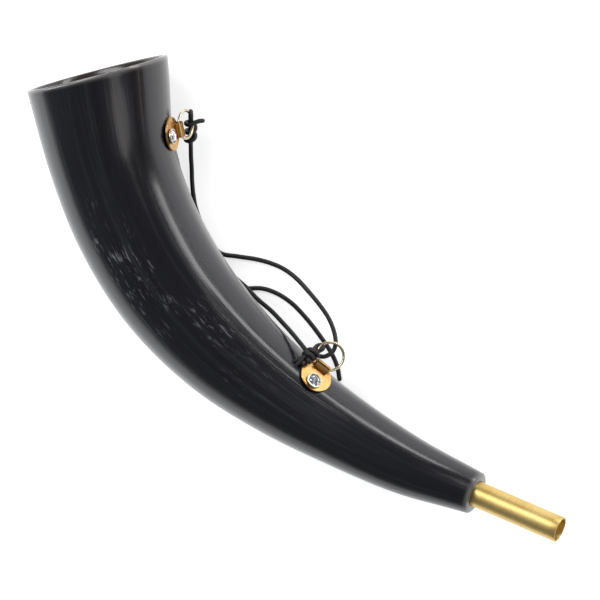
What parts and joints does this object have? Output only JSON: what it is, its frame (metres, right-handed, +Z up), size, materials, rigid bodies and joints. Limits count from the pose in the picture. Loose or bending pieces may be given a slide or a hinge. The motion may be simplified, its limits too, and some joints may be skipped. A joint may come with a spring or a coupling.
{
  "type": "ox horn bugle",
  "caption": "Polished black horn bugle on its side, with a brass blowing tube, riveted ring hangers and a knotted black cord",
  "frame": {"origin": "centre of the bounding box of the horn, tube and hangers at its lowest level, the surface that the horn lies on", "axes": "+Z is up with the horn lying on its side; +Y runs roughly out of the bell; +X runs towards the blowing tube"},
  "size_m": [0.2972, 0.2635, 0.08],
  "materials": {
    "polished_horn": "polished black horn with grey streaks",
    "brass": "satin brass",
    "gilt_sheet": "gold-plated sheet",
    "pale_gilt": "pale gold plating",
    "silvered": "silver-gold plating",
    "crystal": "cut clear crystal with a foil back",
    "black_cord": "waxed round cord"
  },
  "bodies": {
    "horn": {"cord_long_run": "black_cord", "cord_tail": "black_cord", "horn_body": "polished_horn", "lower_crystal": "crystal", "lower_hanger_plate": "gilt_sheet", "lower_rivet_cap": "silvered", "lower_rivet_post": "silvered", "mouthpiece_tube": "brass", "upper_crystal": "crystal", "upper_hanger_plate": "gilt_sheet", "upper_rivet_cap": "silvered", "upper_rivet_post": "silvered"},
    "upper_ring_set": {"upper_ring": "pale_gilt", "cord_upper_knot": "black_cord"},
    "lower_ring_set": {"lower_ring": "pale_gilt", "cord_lower_knot": "black_cord"}
  },
  "joints": [
    {"name": "upper_ring_swing", "type": "hinge", "parent": "horn", "child": "upper_ring_set", "pos_m": [-0.06512, 0.09067, 0.03464], "axis": [0.1393, -0.9431, -0.3018], "range_deg": [-11, 165], "deforming": ["cord_long_run"]},
    {"name": "lower_ring_swing", "type": "hinge", "parent": "horn", "child": "lower_ring_set", "pos_m": [0.01405, -0.03897, 0.0355], "axis": [0.7586, -0.6196, -0.2016], "range_deg": [-61, 55], "deforming": ["cord_long_run", "cord_tail"]}
  ]
}
